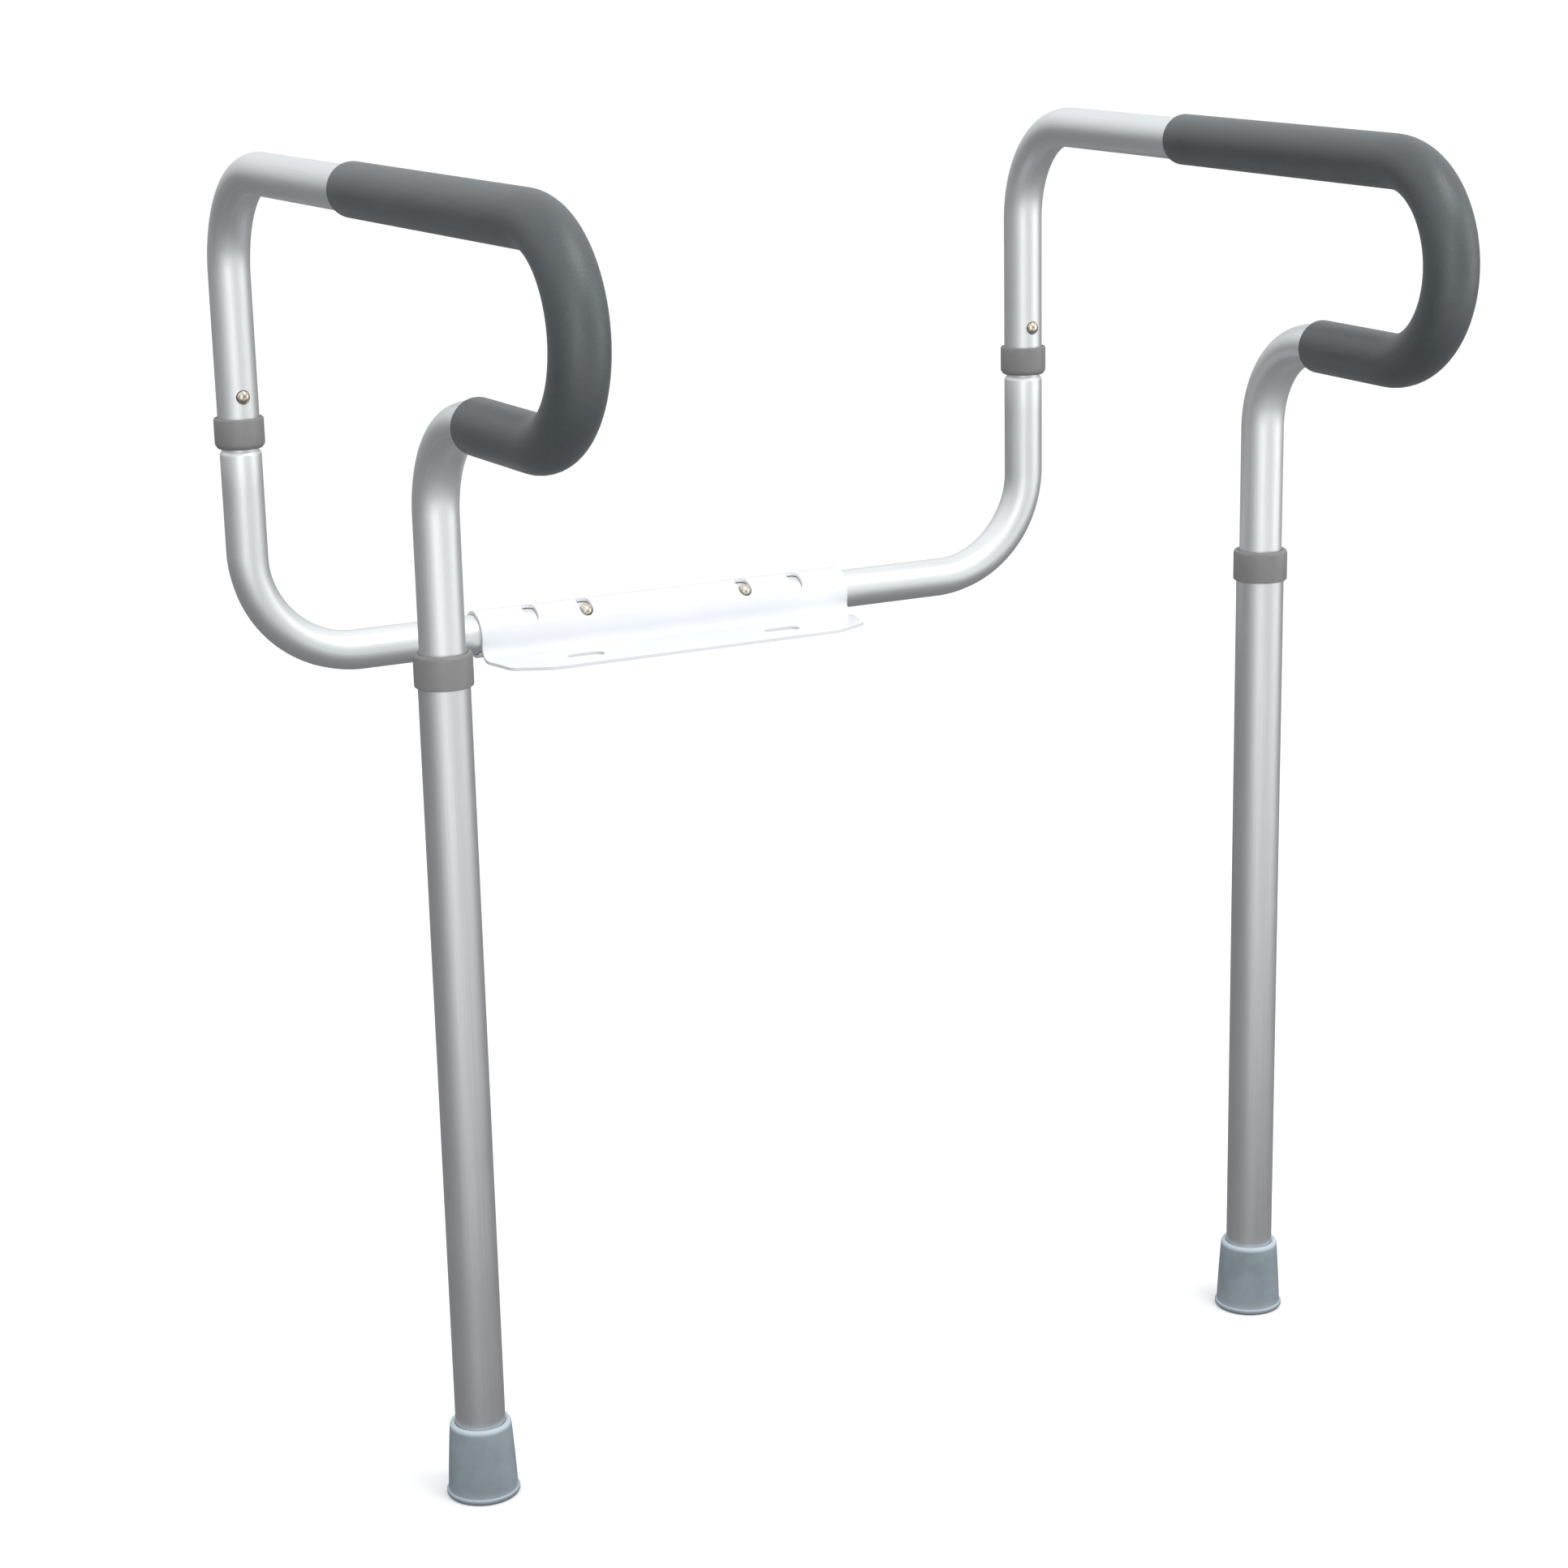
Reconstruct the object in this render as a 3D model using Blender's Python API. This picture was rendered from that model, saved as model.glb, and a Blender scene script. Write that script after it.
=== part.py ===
"""Toilet safety frame: a bracket for the seat bolts, two armrest frames and two adjustable front legs.

Metres, +Z up, +Y towards the toilet's tank, +X to the right as seen from the front.
The origin is the centre of the bracket plate's underside, midway between the two seat bolts.
"""
import math

import bmesh
import bpy
from mathutils import Matrix, Vector

# bracket
SHEET = 0.002
CHANNEL_BORE_R = 0.0132
CHANNEL_LENGTH = 0.262
CHANNEL_END_DEG = 310.0
FILLET_R = 0.008
PLATE_FRONT_Y = -0.022
AXIS_Y = 0.038
AXIS_Z = SHEET + CHANNEL_BORE_R
PLATE_CORNER = [(0.131, 0.0150), (0.125, -0.009), (0.100, PLATE_FRONT_Y)]
BOLT_SLOT_X = 0.0699
BOLT_SLOT_WIDTH = 0.011
BOLT_SLOT_LENGTH = 0.025
BUTTON_SLOT_X = (0.057, 0.095)
BUTTON_SLOT_WIDTH = 0.009
BUTTON_SLOT_DEG = (43.0, 73.5)

# tubes
TUBE_R = 0.0127
TUBE_WALL = 0.00125
LEG_R = 0.0143
LEG_WALL = 0.0013
SPIGOT_R = TUBE_R - TUBE_WALL - 0.0003
SIDES = 16
ARC_STEP_DEG = 15.0

# side frames
SIDE_X = 0.277
TOE_IN_DEG = 2.3
FLOOR_Z = -0.4168
RAIL_Z = 0.3172
FRONT_Y = -0.262
UTURN_Y = -0.392
UTURN_R = 0.055
REAR_BEND_R = 0.064
FRONT_BEND_R = 0.056
ARM_INNER_X = 0.035
ARM_BEND_R = 0.068
SHOULDER_Z = AXIS_Z + 0.130
SPIGOT_TOP_Z = AXIS_Z + 0.230
RAIL_LOW_Z = AXIS_Z + 0.136
RAIL_FRONT_LOW_Z = FLOOR_Z + 0.300
LEG_LOW_Z = FLOOR_Z + 0.010
LEG_TOP_Z = FLOOR_Z + 0.4915

# grip
GRIP_R = 0.0153
GRIP_BORE_R = TUBE_R + 0.0003
GRIP_START_Y = -0.167
GRIP_END_Y = -0.321

# snap buttons
BUTTON_R = 0.004
BUTTON_HOLE_R = 0.00435
WIDTH_BUTTON_DEG = 44.0
RAIL_BUTTON_Z = AXIS_Z + 0.166
LEG_BUTTON_Z = FLOOR_Z + 0.330
LEG_HOLE_PITCH = 0.0254
LEG_HOLES = range(-2, 5)

MATERIALS = {
    "white_powder_coat": ((0.90, 0.90, 0.92), 0.35, 0.0),
    "anodised_aluminium": ((0.72, 0.73, 0.74), 0.38, 1.0),
    "grey_foam": ((0.10, 0.12, 0.135), 0.85, 0.0),
    "grey_plastic": ((0.24, 0.24, 0.235), 0.50, 0.0),
    "blue_grey_rubber": ((0.20, 0.26, 0.30), 0.65, 0.0),
    "button_steel": ((0.60, 0.57, 0.50), 0.22, 1.0),
    "spring_steel": ((0.42, 0.43, 0.46), 0.35, 1.0),
    "black_plastic": ((0.03, 0.03, 0.032), 0.50, 0.0),
}


def clear_scene():
    for obj in list(bpy.data.objects):
        bpy.data.objects.remove(obj, do_unlink=True)


def material(name):
    found = bpy.data.materials.get(name)
    if found:
        return found
    colour, roughness, metallic = MATERIALS[name]
    made = bpy.data.materials.new(name)
    made.use_nodes = True
    shader = made.node_tree.nodes["Principled BSDF"]
    shader.inputs["Base Color"].default_value = (*colour, 1.0)
    shader.inputs["Roughness"].default_value = roughness
    shader.inputs["Metallic"].default_value = metallic
    made.diffuse_color = (*colour, 1.0)
    return made


def toe_in(side):
    """Turn about the rear upright that brings a side frame's front end inwards."""
    centre = Vector((side * SIDE_X, AXIS_Y, 0.0))
    turn = Matrix.Rotation(math.radians(-side * TOE_IN_DEG), 4, "Z")
    return Matrix.Translation(centre) @ turn @ Matrix.Translation(-centre)


def finish_object(bm, name, finish, origin=(0.0, 0.0, 0.0), turn=Matrix.Identity(4)):
    """Turn a mesh in world coordinates into a shaded object with its origin at the given point."""
    bm.transform(turn)
    origin = turn @ Vector(origin)
    bmesh.ops.recalc_face_normals(bm, faces=bm.faces)
    mesh = bpy.data.meshes.new(name)
    bm.to_mesh(mesh)
    bm.free()
    mesh.transform(Matrix.Translation(-origin))
    mesh.materials.append(material(finish))
    mesh.shade_smooth()
    mesh.set_sharp_from_angle(angle=math.radians(32))
    obj = bpy.data.objects.new(name, mesh)
    obj.location = origin
    bpy.context.collection.objects.link(obj)
    return obj


def attach(child, parent):
    """Parent an object and keep it where it is. No parent here is turned, so places only subtract."""
    above = parent
    place = child.location.copy()
    while above:
        place -= above.location
        above = above.parent
    child.parent = parent
    child.location = place


def cut(obj, cutters):
    """Take each closed cutter mesh out of the object."""
    for number, bm in enumerate(cutters):
        bmesh.ops.recalc_face_normals(bm, faces=bm.faces)
        mesh = bpy.data.meshes.new(f"{obj.name}_cutter_{number}")
        bm.to_mesh(mesh)
        bm.free()
        tool = bpy.data.objects.new(mesh.name, mesh)
        tool.hide_render = True
        tool.display_type = "WIRE"
        bpy.context.collection.objects.link(tool)
        boolean = obj.modifiers.new(f"cut_{number}", "BOOLEAN")
        boolean.operation = "DIFFERENCE"
        boolean.solver = "EXACT"
        boolean.object = tool


def ring_turns(sides):
    return [2.0 * math.pi * (k + 0.5) / sides for k in range(sides)]


def skin(bm, rings, closed=False):
    """Join equal rings of vertices, one after the other, with quads."""
    pairs = list(zip(rings, rings[1:]))
    if closed:
        pairs.append((rings[-1], rings[0]))
    for first, second in pairs:
        for k in range(len(first)):
            j = (k + 1) % len(first)
            bm.faces.new((first[k], first[j], second[j], second[k]))


def follow(start, heading, normal, moves):
    """Points and headings along a path in one plane: ("line", length) or ("arc", radius, degrees)."""
    point, heading, normal = Vector(start), Vector(heading), Vector(normal)
    path = [(point.copy(), heading.copy())]
    for move in moves:
        if move[0] == "line":
            point = point + heading * move[1]
            path.append((point.copy(), heading.copy()))
            continue
        radius, degrees = move[1], move[2]
        steps = max(1, math.ceil(abs(degrees) / ARC_STEP_DEG))
        centre = point + normal.cross(heading) * math.copysign(radius, degrees)
        turn = Matrix.Rotation(math.radians(degrees / steps), 3, normal)
        for _ in range(steps):
            point = centre + turn @ (point - centre)
            heading = turn @ heading
            path.append((point.copy(), heading.copy()))
    return path


def hollow_sweep(path, normal, radii):
    """Round tube along a path; radii holds an (outer, inner) pair for each point of the path."""
    bm = bmesh.new()
    normal = Vector(normal)
    shells = []
    for which in (0, 1):
        rings = []
        for (point, heading), pair in zip(path, radii):
            across = normal.cross(heading)
            rings.append(
                [
                    bm.verts.new(point + (normal * math.cos(t) + across * math.sin(t)) * pair[which])
                    for t in ring_turns(SIDES)
                ]
            )
        skin(bm, rings)
        shells.append(rings)
    for end in (0, -1):
        skin(bm, [shells[0][end], shells[1][end]])
    return bm


def lathe(profile, sides=SIDES):
    """Solid of revolution about Z from a closed (radius, height) profile; radius 0 makes a pole."""
    bm = bmesh.new()
    rings = []
    for radius, height in profile:
        if radius == 0.0:
            rings.append([bm.verts.new((0.0, 0.0, height))])
            continue
        rings.append(
            [
                bm.verts.new((radius * math.cos(t), radius * math.sin(t), height))
                for t in ring_turns(sides)
            ]
        )
    pairs = list(zip(rings, rings[1:])) + [(rings[-1], rings[0])]
    for first, second in pairs:
        if len(first) == 1 and len(second) == 1:
            continue
        for k in range(sides):
            j = (k + 1) % sides
            corners = [first[k % len(first)], first[j % len(first)], second[j % len(second)], second[k % len(second)]]
            bm.faces.new(list(dict.fromkeys(corners)))
    return bm


def ribbon(points, thickness, across, width):
    """Bent strip of sheet: an open path of its middle surface, thickened and given a width."""
    bm = bmesh.new()
    across = Vector(across)
    rings = []
    for number, point in enumerate(points):
        before = points[max(number - 1, 0)]
        after = points[min(number + 1, len(points) - 1)]
        first = (point - before).normalized() if number else (after - point).normalized()
        second = (after - point).normalized() if number < len(points) - 1 else first
        along = (first + second).normalized()
        out = along.cross(across) * (0.5 * thickness / max(along.dot(first), 0.35))
        half = across * (0.5 * width)
        rings.append([bm.verts.new(point + a + b) for a, b in ((out, half), (out, -half), (-out, -half), (-out, half))])
    skin(bm, rings)
    bm.faces.new(rings[0])
    bm.faces.new(rings[-1])
    return bm


def prism(outline, low, high):
    """Upright prism over an (x, y) outline."""
    bm = bmesh.new()
    rings = [[bm.verts.new((x, y, z)) for x, y in outline] for z in (low, high)]
    skin(bm, rings)
    bm.faces.new(rings[0])
    bm.faces.new(rings[1])
    return bm


def stadium(length, width, steps=6):
    """Outline of a slot with round ends, long in x."""
    reach, radius = 0.5 * (length - width), 0.5 * width
    outline = []
    for end, start in ((1.0, -90.0), (-1.0, 90.0)):
        for k in range(steps + 1):
            turn = math.radians(start + 180.0 * k / steps)
            outline.append((end * reach + radius * math.cos(turn), radius * math.sin(turn)))
    return outline


def bolt_slot(side):
    outline = [(x + side * BOLT_SLOT_X, y) for x, y in stadium(BOLT_SLOT_LENGTH, BOLT_SLOT_WIDTH)]
    return prism(outline, -0.003, SHEET + 0.001)


def button_slot(x_centre):
    """Slot wrapped round the channel, over the angles that let its arm tilt."""
    bm = bmesh.new()
    middle_r = CHANNEL_BORE_R + 0.5 * SHEET
    low, high = (math.radians(d) for d in BUTTON_SLOT_DEG)
    length = (high - low) * middle_r + BUTTON_SLOT_WIDTH
    rings = []
    for radius in (CHANNEL_BORE_R - 0.001, CHANNEL_BORE_R + SHEET + 0.001):
        ring = []
        for along, across in stadium(length, BUTTON_SLOT_WIDTH):
            turn = 0.5 * (low + high) + along / middle_r
            ring.append(
                bm.verts.new(
                    (x_centre + across, AXIS_Y - radius * math.cos(turn), AXIS_Z + radius * math.sin(turn))
                )
            )
        rings.append(ring)
    skin(bm, rings)
    for ring in rings:
        cap_slot(bm, ring)
    return bm


def cap_slot(bm, ring):
    """Close a bent slot outline with strips that run straight across it."""
    last = len(ring) // 2 - 1
    for start in (0, last + 1):
        for k in range(last // 2):
            corners = [start + k, start + k + 1, start + last - k - 1, start + last - k]
            bm.faces.new([ring[i] for i in dict.fromkeys(corners)])
    bm.faces.new([ring[i] for i in (0, last, last + 1, 2 * last + 1)])


def corner_cut(side):
    """Wedge beyond the plate's angled front corner, kept to the flat in front of the channel."""
    outline = [(side * x, y) for x, y in PLATE_CORNER]
    outline += [(side * 0.100, -0.030), (side * 0.140, -0.030), (side * 0.140, 0.0150)]
    return prism(outline, -0.003, SHEET + 0.0004)


def make_bracket():
    """Plate that sweeps up at its rear edge, over the top, down the back and under, to form the channel."""
    middle_r = CHANNEL_BORE_R + 0.5 * SHEET
    reach = 2.0 * math.sqrt(middle_r * FILLET_R)
    dip = math.asin((middle_r - FILLET_R) / (middle_r + FILLET_R))
    points = [Vector((0.0, PLATE_FRONT_Y, 0.5 * SHEET))]
    for k in range(9):
        turn = (0.5 * math.pi + dip) * k / 8
        y, z = FILLET_R * math.sin(turn), FILLET_R * (1.0 - math.cos(turn))
        points.append(Vector((0.0, AXIS_Y - reach + y, 0.5 * SHEET + z)))
    for k in range(1, 27):
        turn = -dip + (math.radians(CHANNEL_END_DEG) + dip) * k / 26
        points.append(Vector((0.0, AXIS_Y - middle_r * math.cos(turn), AXIS_Z + middle_r * math.sin(turn))))
    bm = ribbon(points, SHEET, (1.0, 0.0, 0.0), CHANNEL_LENGTH)
    obj = finish_object(bm, "bracket", "white_powder_coat")
    cutters = [corner_cut(side) for side in (-1, 1)]
    cutters += [bolt_slot(side) for side in (-1, 1)]
    cutters += [button_slot(side * x) for side in (-1, 1) for x in BUTTON_SLOT_X]
    cut(obj, cutters)
    return obj


def hole_cutter(base, direction, radius=BUTTON_HOLE_R, length=0.020):
    """Round cutter from a tube's axis out through one wall."""
    bm = lathe([(0.0, 0.002), (radius, 0.002), (radius, length), (0.0, length)])
    turn = Vector(direction).to_track_quat("Z", "Y").to_matrix().to_4x4()
    bm.transform(Matrix.Translation(Vector(base)) @ turn)
    return bm


def width_button_frame(side):
    """Where the width button's axis leaves the arm, and its direction."""
    turn = math.radians(WIDTH_BUTTON_DEG)
    return Vector((side * BUTTON_SLOT_X[0], AXIS_Y, AXIS_Z)), Vector((0.0, -math.cos(turn), math.sin(turn)))


def make_lower_arm(name, side):
    bore = TUBE_R - TUBE_WALL
    normal = (0.0, -side, 0.0)
    moves = [
        ("line", SIDE_X - ARM_BEND_R - ARM_INNER_X),
        ("arc", ARM_BEND_R, 90.0),
        ("line", SHOULDER_Z - AXIS_Z - ARM_BEND_R),
        ("line", 0.003),
        ("line", SPIGOT_TOP_Z - SHOULDER_Z - 0.003),
    ]
    path = follow((side * ARM_INNER_X, AXIS_Y, AXIS_Z), (side, 0.0, 0.0), normal, moves)
    radii = [(TUBE_R, bore)] * (len(path) - 2)
    radii += [(SPIGOT_R, SPIGOT_R - TUBE_WALL)] * 2
    pivot = (side * ARM_INNER_X, AXIS_Y, AXIS_Z)
    obj = finish_object(hollow_sweep(path, normal, radii), name, "anodised_aluminium", pivot)
    base, direction = width_button_frame(side)
    cut(obj, [
        hole_cutter(base, direction),
        hole_cutter((side * SIDE_X, AXIS_Y, RAIL_BUTTON_Z), (0.0, -1.0, 0.0)),
    ])
    return obj


def make_arm_plug(name, side):
    bore = TUBE_R - TUBE_WALL
    profile = [
        (0.0, 0.0), (TUBE_R - 0.0010, 0.0), (TUBE_R - 0.0002, 0.0008), (TUBE_R - 0.0002, 0.0019),
        (bore - 0.0006, 0.0019), (bore - 0.0006, 0.0110), (bore - 0.0016, 0.0120), (0.0, 0.0120),
    ]
    bm = lathe(profile)
    place = Vector((side * (ARM_INNER_X - 0.0022), AXIS_Y, AXIS_Z))
    turn = Vector((side, 0.0, 0.0)).to_track_quat("Z", "Y").to_matrix().to_4x4()
    bm.transform(Matrix.Translation(place) @ turn)
    return finish_object(bm, name, "black_plastic", place)


def rail_path(side):
    start = (side * SIDE_X, AXIS_Y, RAIL_LOW_Z)
    return_z = RAIL_Z - 2.0 * UTURN_R
    moves = [
        ("line", RAIL_Z - REAR_BEND_R - RAIL_LOW_Z),
        ("arc", REAR_BEND_R, 90.0),
        ("line", AXIS_Y - REAR_BEND_R - UTURN_Y),
        ("arc", UTURN_R, 180.0),
        ("line", FRONT_Y - FRONT_BEND_R - UTURN_Y),
        ("arc", FRONT_BEND_R, -90.0),
        ("line", return_z - FRONT_BEND_R - RAIL_FRONT_LOW_Z),
    ]
    return follow(start, (0.0, 0.0, 1.0), (1.0, 0.0, 0.0), moves)


def leg_button_frame(side):
    """Where the leg button's axis leaves the rail's front upright, and its direction."""
    turn = toe_in(side)
    return turn @ Vector((side * SIDE_X, FRONT_Y, LEG_BUTTON_Z)), turn.to_3x3() @ Vector((0.0, 1.0, 0.0))


def make_rail(name, side):
    path = rail_path(side)
    radii = [(TUBE_R, TUBE_R - TUBE_WALL)] * len(path)
    pivot = (side * SIDE_X, AXIS_Y, RAIL_LOW_Z)
    bm = hollow_sweep(path, (1.0, 0.0, 0.0), radii)
    obj = finish_object(bm, name, "anodised_aluminium", pivot, toe_in(side))
    cut(obj, [
        hole_cutter((side * SIDE_X, AXIS_Y, RAIL_BUTTON_Z), (0.0, -1.0, 0.0)),
        hole_cutter(*leg_button_frame(side)),
    ])
    return obj


def make_grip(name, side):
    """Foam sleeve on the same path as the rail, so the two keep an even gap round the U-turn."""
    start = (side * SIDE_X, GRIP_START_Y, RAIL_Z)
    ends = (0.0006, 0.0014)
    length = GRIP_START_Y - UTURN_Y
    back = GRIP_END_Y - UTURN_Y
    moves = [
        ("line", ends[0]), ("line", ends[1]), ("line", length - 0.0020),
        ("arc", UTURN_R, 180.0),
        ("line", back - 0.0020), ("line", ends[1]), ("line", ends[0]),
    ]
    path = follow(start, (0.0, -1.0, 0.0), (1.0, 0.0, 0.0), moves)
    taper = [GRIP_R - 0.0015, GRIP_R - 0.0005, GRIP_R]
    outer = taper + [GRIP_R] * (len(path) - 6) + taper[::-1]
    bm = hollow_sweep(path, (1.0, 0.0, 0.0), [(r, GRIP_BORE_R) for r in outer])
    return finish_object(bm, name, "grey_foam", start, toe_in(side))


def make_rear_collar(name, side):
    """Slides over the rail's lower end; an inner lip at the bottom closes the tube's cut edge."""
    low, high = AXIS_Z + 0.134, AXIS_Z + 0.1525
    bore, lip, outer = TUBE_R + 0.0003, SPIGOT_R + 0.0004, 0.0152
    profile = [
        (lip, low), (outer - 0.0012, low), (outer, low + 0.0014), (outer, high - 0.0008),
        (outer - 0.0008, high), (bore, high), (bore, low + 0.0017), (lip, low + 0.0017),
    ]
    bm = lathe(profile)
    bm.transform(Matrix.Translation((side * SIDE_X, AXIS_Y, 0.0)))
    return finish_object(bm, name, "grey_plastic", (side * SIDE_X, AXIS_Y, low), toe_in(side))


def make_leg_tube(name, side):
    profile = [
        (LEG_R - LEG_WALL, LEG_LOW_Z), (LEG_R, LEG_LOW_Z), (LEG_R, LEG_TOP_Z), (LEG_R - LEG_WALL, LEG_TOP_Z),
    ]
    bm = lathe(profile)
    bm.transform(Matrix.Translation((side * SIDE_X, FRONT_Y, 0.0)))
    pivot = (side * SIDE_X, FRONT_Y, LEG_TOP_Z)
    obj = finish_object(bm, name, "anodised_aluminium", pivot, toe_in(side))
    base, direction = leg_button_frame(side)
    offsets = [Vector((0.0, 0.0, k * LEG_HOLE_PITCH)) for k in LEG_HOLES]
    cut(obj, [hole_cutter(base + offset, direction) for offset in offsets])
    return obj


def make_front_collar(name, side):
    """Cap collar on the leg's top end; its lip closes the gap to the rail tube that slides inside."""
    low, high = FLOOR_Z + 0.476, FLOOR_Z + 0.4945
    bore, lip, outer = LEG_R + 0.0003, TUBE_R + 0.0003, 0.0162
    under = LEG_TOP_Z + 0.0003
    profile = [
        (bore, low), (outer - 0.0005, low), (outer, low + 0.0006), (outer, high - 0.0010),
        (outer - 0.0010, high), (lip, high), (lip, under), (bore, under),
    ]
    bm = lathe(profile)
    bm.transform(Matrix.Translation((side * SIDE_X, FRONT_Y, 0.0)))
    return finish_object(bm, name, "grey_plastic", (side * SIDE_X, FRONT_Y, low), toe_in(side))


def make_foot_tip(name, side):
    base, socket = FLOOR_Z, LEG_R + 0.0003
    profile = [
        (0.0, base), (0.0204, base), (0.0210, base + 0.0008), (0.0210, base + 0.0024),
        (0.0200, base + 0.0032), (0.01775, base + 0.0428), (0.0169, base + 0.0440),
        (socket, base + 0.0440), (socket, base + 0.0080), (0.0, base + 0.0080),
    ]
    bm = lathe(profile, sides=24)
    bm.transform(Matrix.Translation((side * SIDE_X, FRONT_Y, 0.0)))
    return finish_object(bm, name, "blue_grey_rubber", (side * SIDE_X, FRONT_Y, base), toe_in(side))


def make_foot_washer(name, side):
    low, high = FLOOR_Z + 0.0083, FLOOR_Z + 0.0097
    bm = lathe([(0.0, low), (0.0138, low), (0.0138, high), (0.0, high)])
    bm.transform(Matrix.Translation((side * SIDE_X, FRONT_Y, 0.0)))
    return finish_object(bm, name, "spring_steel", (side * SIDE_X, FRONT_Y, low), toe_in(side))


def make_button(name, base, direction, flange_top, tip):
    """Domed snap button; heights are measured from its tube's axis, along the press direction."""
    profile = [
        (0.0, flange_top - 0.0008), (0.0049, flange_top - 0.0008), (0.0049, flange_top),
        (BUTTON_R, flange_top), (BUTTON_R, tip - 0.0019), (0.0035, tip - 0.0010),
        (0.0023, tip - 0.0003), (0.0, tip),
    ]
    bm = lathe(profile)
    turn = Vector(direction).to_track_quat("Z", "Y").to_matrix().to_4x4()
    bm.transform(Matrix.Translation(base) @ turn)
    return finish_object(bm, name, "button_steel", base)


def make_clip(name, base, direction, along, flange_top, bore_r):
    """Leaf spring folded to a V inside its tube: one leg under the button, the other on the far wall."""
    base, direction, along = Vector(base), Vector(direction), Vector(along)
    top = flange_top - 0.0008 - 0.0003 - 0.00025
    low = -math.sqrt((bore_r * math.cos(math.pi / SIDES)) ** 2 - 0.0035**2) + 0.0006
    places = [
        (-0.0062, top), (0.0062, top), (0.0330, 0.0012), (0.0352, 0.0000),
        (0.0330, -0.0012), (0.0062, low), (-0.0062, low),
    ]
    points = [base + along * a + direction * d for a, d in places]
    bm = ribbon(points, 0.0005, along.cross(direction), 0.007)
    return finish_object(bm, name, "spring_steel", base)


def make_side(word, side):
    arm = make_lower_arm(f"{word}_lower_arm", side)
    plug = make_arm_plug(f"{word}_arm_end_plug", side)
    bore = TUBE_R - TUBE_WALL

    base, direction = width_button_frame(side)
    width_button = make_button(f"{word}_width_button", base, direction, 0.0097, 0.0172)
    width_clip = make_clip(f"{word}_width_clip", base, direction, (side, 0.0, 0.0), 0.0097, bore)

    base, direction = Vector((side * SIDE_X, AXIS_Y, RAIL_BUTTON_Z)), Vector((0.0, -1.0, 0.0))
    rail_button = make_button(f"{word}_rail_button", base, direction, 0.0079, 0.0153)
    spigot_bore = SPIGOT_R - TUBE_WALL
    rail_clip = make_clip(f"{word}_rail_clip", base, direction, (0.0, 0.0, 1.0), 0.0079, spigot_bore)

    rail = make_rail(f"{word}_armrest_rail", side)
    grip = make_grip(f"{word}_foam_grip", side)
    rear_collar = make_rear_collar(f"{word}_rear_collar", side)

    base, direction = leg_button_frame(side)
    leg_button = make_button(f"{word}_leg_button", base, direction, 0.0097, 0.0169)
    leg_clip = make_clip(f"{word}_leg_clip", base, direction, (0.0, 0.0, 1.0), 0.0097, bore)

    leg = make_leg_tube(f"{word}_leg_tube", side)
    front_collar = make_front_collar(f"{word}_front_collar", side)
    foot_tip = make_foot_tip(f"{word}_foot_tip", side)
    foot_washer = make_foot_washer(f"{word}_foot_washer", side)

    for child in (leg, leg_button, leg_clip, grip, rear_collar):
        attach(child, rail)
    for child in (front_collar, foot_tip, foot_washer):
        attach(child, leg)
    for child in (rail, rail_button, rail_clip, width_button, width_clip):
        attach(child, arm)
    attach(arm, plug)
    return plug


clear_scene()
bracket = make_bracket()
for side_word, side_sign in (("left", -1), ("right", 1)):
    attach(make_side(side_word, side_sign), bracket)
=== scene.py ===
import math
import bmesh
import bpy
from mathutils import Matrix, Vector


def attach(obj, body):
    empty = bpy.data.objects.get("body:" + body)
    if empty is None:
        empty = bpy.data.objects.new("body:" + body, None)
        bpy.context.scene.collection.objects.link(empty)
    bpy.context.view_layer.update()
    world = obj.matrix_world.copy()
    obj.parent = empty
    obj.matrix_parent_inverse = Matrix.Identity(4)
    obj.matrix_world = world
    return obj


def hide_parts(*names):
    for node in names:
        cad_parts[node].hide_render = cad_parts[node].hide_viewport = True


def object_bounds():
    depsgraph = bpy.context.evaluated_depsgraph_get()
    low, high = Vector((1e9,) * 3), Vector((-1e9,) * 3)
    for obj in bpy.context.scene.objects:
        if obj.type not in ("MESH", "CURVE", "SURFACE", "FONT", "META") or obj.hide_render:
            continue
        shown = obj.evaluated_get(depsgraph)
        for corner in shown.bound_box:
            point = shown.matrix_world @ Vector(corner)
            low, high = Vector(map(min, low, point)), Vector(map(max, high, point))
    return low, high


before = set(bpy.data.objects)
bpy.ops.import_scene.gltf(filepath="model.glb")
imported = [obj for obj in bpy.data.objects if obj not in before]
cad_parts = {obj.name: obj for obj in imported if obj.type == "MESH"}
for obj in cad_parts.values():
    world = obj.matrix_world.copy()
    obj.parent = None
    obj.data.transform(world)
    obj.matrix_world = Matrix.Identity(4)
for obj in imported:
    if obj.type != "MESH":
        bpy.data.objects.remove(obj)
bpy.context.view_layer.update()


# Camera: a long lens at chest height, in front of the frame and to its left, looking slightly down on it
# and leaning a little over one degree.
stand = Vector((-0.8711, -1.8823, 0.4631))
yaw, pitch, roll = math.radians(26.54), math.radians(15.06), math.radians(-1.25)
sight = Vector((math.sin(yaw) * math.cos(pitch), math.cos(yaw) * math.cos(pitch), -math.sin(pitch)))
level = Vector((math.cos(yaw), -math.sin(yaw), 0.0))
upright = level.cross(sight)
across_view = math.cos(roll) * level + math.sin(roll) * upright
up_view = -math.sin(roll) * level + math.cos(roll) * upright
lens = bpy.data.cameras.new("camera")
lens.sensor_width = 36.0
lens.lens = 75.2795
lens.clip_end = 50.0
camera = bpy.data.objects.new("camera", lens)
camera.matrix_world = Matrix((
    (across_view.x, up_view.x, -sight.x, stand.x),
    (across_view.y, up_view.y, -sight.y, stand.y),
    (across_view.z, up_view.z, -sight.z, stand.z),
    (0.0, 0.0, 0.0, 1.0),
))
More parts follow.
